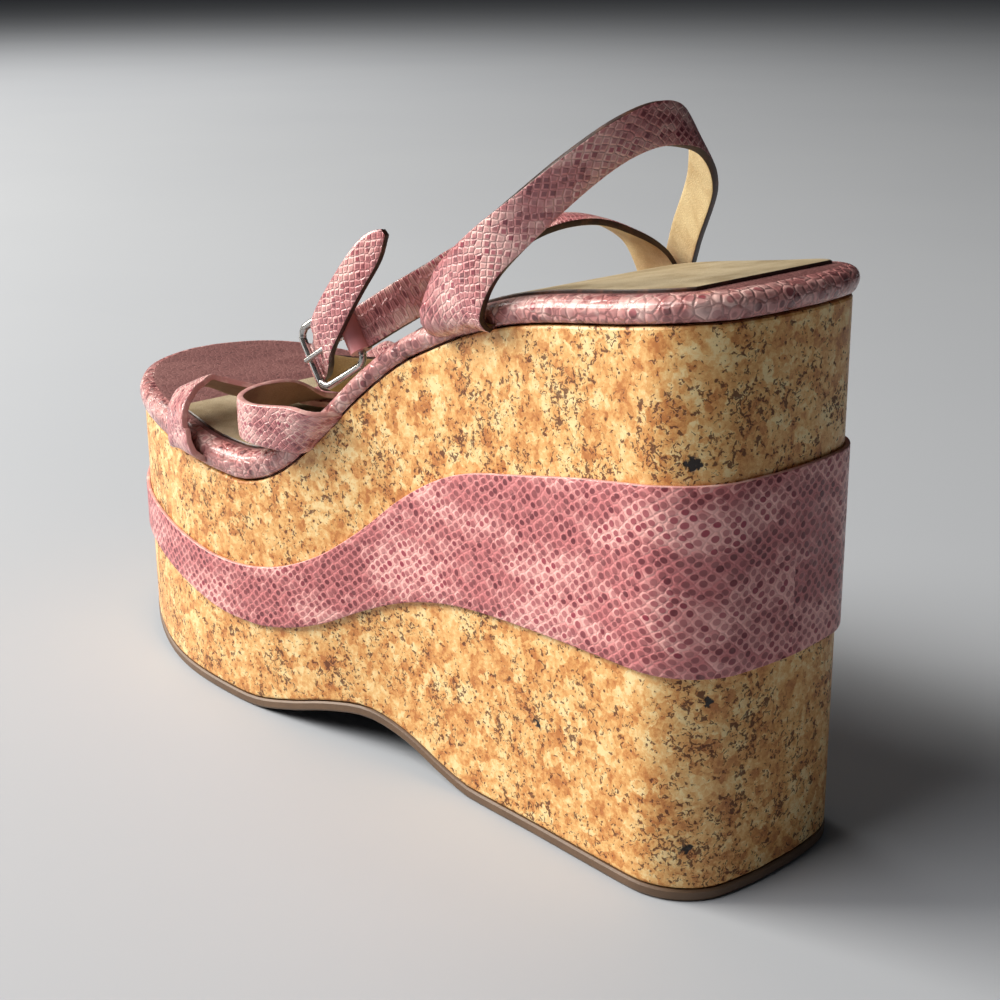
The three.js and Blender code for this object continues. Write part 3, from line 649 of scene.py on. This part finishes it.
bandLeather = scaleLeather("scalePrintedCalfBand", bandPrint)
strapLeather = scaleLeather("scalePrintedCalfStrap", strapPrint)
bellyLeather = scaleLeather("scalePrintedCalfBelly", bellyPrint)
rimLeather = scaleLeather("scalePrintedCalfRim", rimPrint)
toeLeatherShadeDarkened = scaleLeather("calfToeDarkenedForShade", toePrintShadeDarkened)
creamLining = liningMaterial("undyedCalfLining", "#dfcb9c", "#c0a272")
# the toe straps' lining: the same calf lining painted brown as painted shade for the inside of the toe
# loops, with some soiling
shadeDarkLining = liningMaterial("calfLiningDarkenedForShade", "#a07c62", "#7c5843")
sockLining = liningMaterial("undyedCalfSock", "#c2b394", "#9f8d6c")
darkEdge = edgeMaterial("brownEdgePaint", "#2c1710", "#5a3524")
roseEdge = edgeMaterial("foldedCalfEdge", "#c9938e", "#e8c6bd")


# band round the cork
def bandPoint(share, level, out):
    point = roundAt(share)
    low, high = bandLow(point[1]), bandHigh(point[1])
    z = low + (high - low) * level
    return placed(point, wall(z) + out, lambda s: z)


perimeter = ringLengths[-1]
bandMesh = makeSheet(
    8, 340,
    lambda a, b: bandPoint(a, b, gap + form["bandProud"]),
    lambda a, b: bandPoint(a, b, gap * 0.2),
    lambda a, b: (a * perimeter * mm, bandPoint(a, b, 0).z),
    closed=True, rounding=0.35)
makePiece("printedBand", bandMesh, [bandLeather, bandLeather, roseEdge], ["wave_band"])
print("stage: band")


# footbed: rolled rim, top cover and sock
footbed = {
    "roll": ((-1.6, 0), (0.3, 0.08), (1.2, 0.36), (1.3, 0.62), (0.4, 0.85), (-1.2, 0.97), (-3.0, 1.0)),
    "rollSteps": 18, "sockStart": 6.0, "sockEnd": 196.0, "sockThick": 0.85,
}


def rollLayer(share):
    point = curvePoint([Vector((a, b, 0)) for a, b in footbed["roll"]], share)
    return onWall(point.x, lambda s: corkTop(s) + gap + point.y * (rimHeight(s) - gap))


rimMesh = makeSlab([rollLayer(i / footbed["rollSteps"]) for i in range(footbed["rollSteps"] + 1)])
makePiece("footbedCover", rimMesh, [rimLeather, toeLeatherShadeDarkened, shadeDarkLining], ["footbed"],
          60)
sockLayers = [onWall(-form["sockInset"] + out, lambda s, up=up: rimTop(s) + up)
              for out, up in ((0, 0.05), (0, 0.6), (-0.25, footbed["sockThick"]))]
sockMesh = makeSlab(sockLayers, footbed["sockStart"], footbed["sockEnd"])
makePiece("sockSheet", sockMesh, [darkEdge, sockLining, sockLining], ["sock"], 30)
print("stage: footbed and sock")


# outsole: moulded rubber with a brown edge
def soleMaterial(name, dark, light, rough):
    made, tree = newMaterial(name)
    where = add(tree, "TexCoord").outputs["Object"]
    cloud = add(tree, "TexNoise", {"Vector": where, "Scale": 1 / (8 * mm), "Detail": 5.0})
    tone = add(tree, "Mix", {0: cloud.outputs[0], 6: linear(dark), 7: linear(light)}, data_type="RGBA")
    grit = add(tree, "TexNoise", {"Vector": where, "Scale": 1 / (0.8 * mm), "Detail": 3.0})
    bump = add(tree, "Bump", {"Strength": 0.5, "Distance": 0.00015, "Height": grit.outputs[0]})
    return finishMaterial(made, {"Base Color": tone.outputs[2], "Roughness": rough,
                                 "Normal": bump.outputs[0]})


soleEdge = soleMaterial("tanSoleEdge", "#5b4636", "#7a6048", 0.5)
soleTread = soleMaterial("blackMouldedRubber", "#1a1615", "#2c2623", 0.72)
soleMesh = makeSlab([
    onWall(-0.9, underside), onWall(-0.2, lambda s: underside(s) + 0.25),
    onWall(0.15, lambda s: underside(s) + 0.8), onWall(0.2,
                                                       lambda s: underside(s) + form["outsole"] - 0.5),
    onWall(-0.2, lambda s: underside(s) + form["outsole"])])
makePiece("outsoleSlab", soleMesh, [soleEdge, soleEdge, soleTread], ["outsole"])
print("stage: outsole")


# buckle's own axes: along the straps, across them, out from the leg
buckle = {
    "place": (28.6, -84.1, 113.6), "along": (0.25, -0.8, -0.545), "across": (-0.02, 0.55, -0.83),
    "long": 16.4, "half": 8.4, "corner": 3.0, "wire": 1.0, "pinWire": 0.75, "eye": 2.4,
}
buckleAt = Vector(buckle["place"])
alongAxis = Vector(buckle["along"]).normalized()
acrossAxis = Vector(buckle["across"]).normalized()
acrossAxis = (acrossAxis - alongAxis * acrossAxis.dot(alongAxis)).normalized()
outAxis = alongAxis.cross(acrossAxis)


def onBuckle(a, b, c=0.0):
    return buckleAt + alongAxis * a + acrossAxis * b + outAxis * c


# straps. Each row: centre x, s, z, the direction across the strap, its width
tuck = 1.4  # strap ends lie this far above the cork's top
ankleRows = (
    (22, 72.5, "tuck", 0, 1, 0.33, 21), (29.4, 72.5, "tuck", 0, 1, 0.33, 21),
    (33.8, 72.2, 124.8, 0, 1, 0.3, 20.5), (34.8, 70, 131.5, 0, 1, 0.1, 18),
    (33.7, 63.6, 140.2, -0.15, 0.8, -0.55, 12.4), (30, 53.4, 150, -0.45, 0.35, -0.82, 10.2),
    (23.5, 44, 160, -0.56, 0.12, -0.82, 9.6), (14, 38.6, 167, -0.42, 0, -0.9, 9.6),
    (3, 37, 169.3, -0.2, 0.15, -0.97, 9.6), (-8, 38.4, 165.6, 0.15, 0.65, -0.74, 9.6),
    (-18.5, 45, 155, 0.34, 0.93, 0, 9.6), (-28.6, 58.4, 140, 0.3, 0.94, 0.05, 9.6),
    (-37.2, 70.4, 126, 0.12, 0.9, -0.42, 9.6), (-39, 81, 117, 0, 0.5, -0.86, 9.6),
    (-38.6, 94, 110.4, 0, 0.3, -0.95, 9.6), (-36.6, 107, 107, -0.1, 0, -1, 9.8),
    (-29, 116, 105.8, -0.05, -0.45, -0.9, 9.8), (-17, 120.5, 102.6, 0, -0.68, -0.73, 9.8),
    (-3, 124, 99.8, 0, -0.7, -0.71, 9.8), (10, 130, 97.6, 0.05, -0.4, -0.9, 9.8),
    (21, 138, 98, 0.05, 0.1, -0.99, 9.8))
# the same strap where it threads the buckle. Each row: along, across and out on the
# buckle's own axes, its width, how far it turns
tabRows = (
    (20.5, 1, -4.4, 9.8, 0), (15.6, 0.6, -2.5, 9.8, 0), (11.2, -0.4, 0.4, 9.8, 0),
    (6.8, -2.6, 3.4, 10, 0.2), (-0.5, -5.4, 5.4, 9.8, 0.45), (-10, -9.4, 6, 9.2, 0.5),
    (-17.6, -12.6, 5.6, 8.4, 0.5), (-21.8, -14.2, 5.2, 6, 0.5), (-25.2, -15, 5, 1.8, 0.5))
instepRows = (
    (-21, 70, "tuck", 0, -1, -0.3, 15), (-28, 70, "tuck", 0, -1, -0.3, 15),
    (-32, 70.2, 125.4, 0, -1, -0.25, 14), (-30.8, 72.4, 131.5, -0.1, -1, -0.3, 12.6),
    (-26, 76, 137.6, -0.43, -0.89, -0.17, 12), (-17, 81, 141.6, -0.48, -0.88, -0.04, 10.8),
    (-6, 87, 140.6, -0.48, -0.86, 0.16, 10.8), (5, 94.4, 134.6, -0.25, -0.82, 0.52, 10.8),
    (14, 101.6, 127.4, 0.25, -0.4, 0.88, 10.8), (21.7, 108.6, 121.4, 0.05, -0.45, 0.88, 10.8),
    (27.8, 117.6, 114.4, 0.02, -0.55, 0.83, 10.8))
toeFrontRows = (
    (31, 179, "tuck", 0, -1, 0.1, 17), (40.2, 179, "tuck", 0, -1, 0.1, 17),
    (45, 179.4, 73.2, -0.1, -1, 0.05, 16), (45.4, 181.5, 78, -0.15, -0.99, 0, 13.2),
    (44.8, 182, 82.3, -0.22, -0.97, -0.08, 12), (42.4, 183.4, 85.6, -0.27, -0.96, -0.06, 11.6),
    (38, 185.3, 88.2, -0.37, -0.92, -0.12, 11.6), (31.7, 186, 88.9, -0.48, -0.78, -0.4, 11.6),
    (24.4, 182.6, 86, -0.42, -0.76, -0.5, 11.6), (14, 177.6, 83, -0.42, -0.86, -0.28, 11.6),
    (3, 172, 80.6, -0.45, -0.9, -0.02, 11.6), (-10, 165.6, 80.2, -0.45, -0.9, 0, 11.6),
    (-23, 159.5, 81.6, -0.4, -0.92, 0, 11.6), (-33, 155.4, 83, -0.2, -0.98, 0, 11.6),
    (-40, 153.6, 80, 0, -1, 0, 12.5), (-40.8, 153, 73.6, 0, -1, 0, 13.5),
    (-35.6, 153, "tuck", 0, -1, 0, 14), (-27, 153, "tuck", 0, -1, 0, 14))
toeRearRows = (
    (27, 123, "tuck", 0, -0.72, -0.69, 14), (35, 123, "tuck", 0, -0.72, -0.69, 14),
    (40.4, 125.5, 88.5, 0, -0.6, -0.8, 13.5), (43.6, 133, 88.2, 0, -0.2, -0.98, 12),
    (45.4, 143, 87.8, 0, 0, -1, 10.8), (43, 151.5, 87.8, 0, 0, -1, 11.2),
    (35, 156.6, 88, 0, -0.2, -0.98, 12), (24, 160.5, 87.6, 0, -0.55, -0.83, 12),
    (11, 166, 84, 0.35, -0.9, -0.25, 11.6), (-2, 172.6, 82.2, 0.4, -0.9, 0, 11.6),
    (-15, 178.6, 82.4, 0.4, -0.9, 0, 11.6), (-28, 184, 85.2, 0.3, -0.95, 0.05, 11.6),
    (-38, 187, 86.6, -0.1, -1, 0.1, 12), (-43.6, 188, 81.4, 0, -1, 0.1, 12.5),
    (-44, 188, 75, 0, -1, 0.1, 13.5), (-39, 188, "tuck", 0, -1, 0.1, 14),
    (-30, 188, "tuck", 0, -1, 0.1, 14))


# Rows as (centre, across, width) in the frame's own axes
def strapPath(rows, tab=()):
    made = []
    for x, s, z, ax, ay, az, w in rows:
        z = corkTop(s) + tuck if z == "tuck" else z
        made.append((Vector((x, form["heelBack"] - s, z)), Vector((ax, ay, az)).normalized(), w))
    for a, b, c, w, turn in tab:
        made.append((onBuckle(a, b, c), (acrossAxis - alongAxis * turn).normalized(), w))
    return made


# A lined strap swept along its path. faceSign is the side that the print is on.
def makeStrap(path, faceSign, across=10, pitch=1.3):
    centres, sides = [p[0] for p in path], [p[1] for p in path]
    widths = [Vector((p[2], 0, 0)) for p in path]
    fineSteps = 600
    fine = [curvePoint(centres, i / fineSteps) for i in range(fineSteps + 1)]
    lengths = [0.0]
    for p, q in zip(fine, fine[1:]):
        lengths.append(lengths[-1] + (q - p).length)
    half, crown = form["strapThick"] / 2, 0.28
    cache = {}

    def section(share):
        key = round(share, 6)
        if key not in cache:
            want = share * lengths[-1]
            k = next((i for i in range(fineSteps) if lengths[i + 1] >= want), fineSteps - 1)
            t = (k + (want - lengths[k]) / max(lengths[k + 1] - lengths[k], 1e-9)) / fineSteps
            along = (curvePoint(centres, min(t + 0.002, 1)) - curvePoint(centres,
                                                                         max(t - 0.002,
                                                                             0))).normalized()
            side = curvePoint(sides, t)
            side = (side - along * side.dot(along)).normalized()
            cache[key] = (curvePoint(centres, t), side, along.cross(side) * faceSign,
                          curvePoint(widths, t).x)
        return cache[key]

    # the face is slightly crowned, as pressed leather is
    def faceAt(a, b):
        centre, side, face, width = section(a)
        edge = 2 * b - 1
        return (centre + side * width / 2 * edge + face * (half - crown * edge ** 4)) * mm

    def backAt(a, b):
        centre, side, face, width = section(a)
        return (centre + side * width / 2 * (2 * b - 1) - face * half) * mm

    def uvAt(a, b):
        return (a * lengths[-1] * mm, (b - 0.5) * section(a)[3] * mm)
    return makeSheet(across, round(lengths[-1] / pitch), faceAt, backAt, uvAt)


straps = (  # piece, rows, rows on the buckle, print's side, leather, lining, edge, CAD node
    ("ankleStrap", ankleRows, tabRows, -1, strapLeather, creamLining, darkEdge, "ankle_strap"),
    ("instepStrap", instepRows, (), -1, bellyLeather, creamLining, darkEdge, "instep_strap"),
    ("toeStrapFront", toeFrontRows, (), 1, strapLeather, shadeDarkLining, roseEdge, "toe_straps"),
    ("toeStrapRear", toeRearRows, (), 1, strapLeather, shadeDarkLining, roseEdge, "toe_straps"))
for name, rows, tab, faceSign, leather, lining, edge, node in straps:
    strapMesh = makeStrap(strapPath(rows, tab), faceSign)
    makePiece(name, strapMesh, [leather, lining, edge], [node])
print("stage: straps")


# buckle: nickel-plated wire
def nickelMaterial():
    made, tree = newMaterial("nickelPlatedWire")  # bright plate with faint handling scratches
    where = add(tree, "TexCoord").outputs["Object"]
    smear = add(tree, "TexNoise", {"Vector": where, "Scale": 1 / (1.5 * mm), "Detail": 4.0})
    rough = add(tree, "MapRange", {"Value": smear.outputs[0], "To Min": 0.16, "To Max": 0.36})
    tone = add(tree, "Mix", {0: smear.outputs[0], 6: linear("#c9c7c4"), 7: linear("#a9a6a2")},
               data_type="RGBA")
    return finishMaterial(made, {"Base Color": tone.outputs[2], "Roughness": rough.outputs[0],
                                 "Metallic": 1.0})


# A round wire along points: a ring of points spun out by extrusion
def makeWire(points, radius, closed=False, sides=12, steps=90):
    bm = bmesh.new()
    shares = [i / steps for i in range(steps if closed else steps + 1)]
    centres = [curvePoint(points, t, closed) for t in shares]
    count = len(centres)
    turned = Vector((0.31, 0.52, 0.79))
    ring = None
    for i, centre in enumerate(centres):
        before = centres[i - 1] if closed or i else centre
        after = centres[(i + 1) % count] if closed or i < count - 1 else centre
        along = (after - before).normalized()
        turned = (turned - along * turned.dot(along)).normalized()
        other = along.cross(turned)
        if ring is None:
            ring = bmesh.ops.create_circle(bm, segments=sides, radius=1)["verts"]
            edges = list({e for v in ring for e in v.link_edges})
            firstEdges = edges
        else:
            made = bmesh.ops.extrude_edge_only(bm, edges=edges)["geom"]
            fresh = {v for v in made if isinstance(v, bmesh.types.BMVert)}
            edges = [e for e in made if isinstance(e, bmesh.types.BMEdge) and set(e.verts) <= fresh]
            ring = [next(e.other_vert(v) for e in v.link_edges if e.other_vert(v) in fresh) for v in ring]
        for k, v in enumerate(ring):
            turn = k / sides * 2 * math.pi
            v.co = (centre + (turned * math.cos(turn) + other * math.sin(turn)) * radius) * mm
    if closed:
        bmesh.ops.bridge_loops(bm, edges=edges + firstEdges)
    else:
        bmesh.ops.holes_fill(bm, edges=bm.edges[:], sides=sides)
    bmesh.ops.recalc_face_normals(bm, faces=bm.faces[:])
    return bm


nickel = nickelMaterial()
corner, long, half = buckle["corner"], buckle["long"], buckle["half"]
loop = []
for a, b, start in ((corner, corner - half, 180), (long - corner, corner - half, 270),
                    (long - corner, half - corner, 0), (corner, half - corner, 90)):
    for i in range(5):
        turn = math.radians(start + i * 22.5)
        loop.append(onBuckle(a + corner * math.cos(turn), b + corner * math.sin(turn)))
makePiece("buckleFrame", makeWire(loop, buckle["wire"], True), [nickel], ["buckle_frame"])
pinPath = [onBuckle(1.2, 0, 1.5), onBuckle(5, 0, 2.2), onBuckle(10, 0, 2.4),
           onBuckle(long + 0.1, 0, 2.05)]
makePiece("bucklePin", makeWire(pinPath, buckle["pinWire"], steps=24), [nickel], ["buckle_prong"])
eyePath = [onBuckle(0, -1.3), onBuckle(0, 0), onBuckle(0, 1.3)]
makePiece("buckleEye", makeWire(eyePath, buckle["eye"], sides=20, steps=6), [nickel], ["buckle_prong"])
# the instep strap folds round the bar and hides the pin's eye
foldPath = [onBuckle(0, -5.4), onBuckle(0, 0), onBuckle(0, 5.4)]
makePiece("instepFold", makeWire(foldPath, 3.0, sides=20, steps=6), [bellyLeather], ["instep_strap"])
print("stage: buckle")
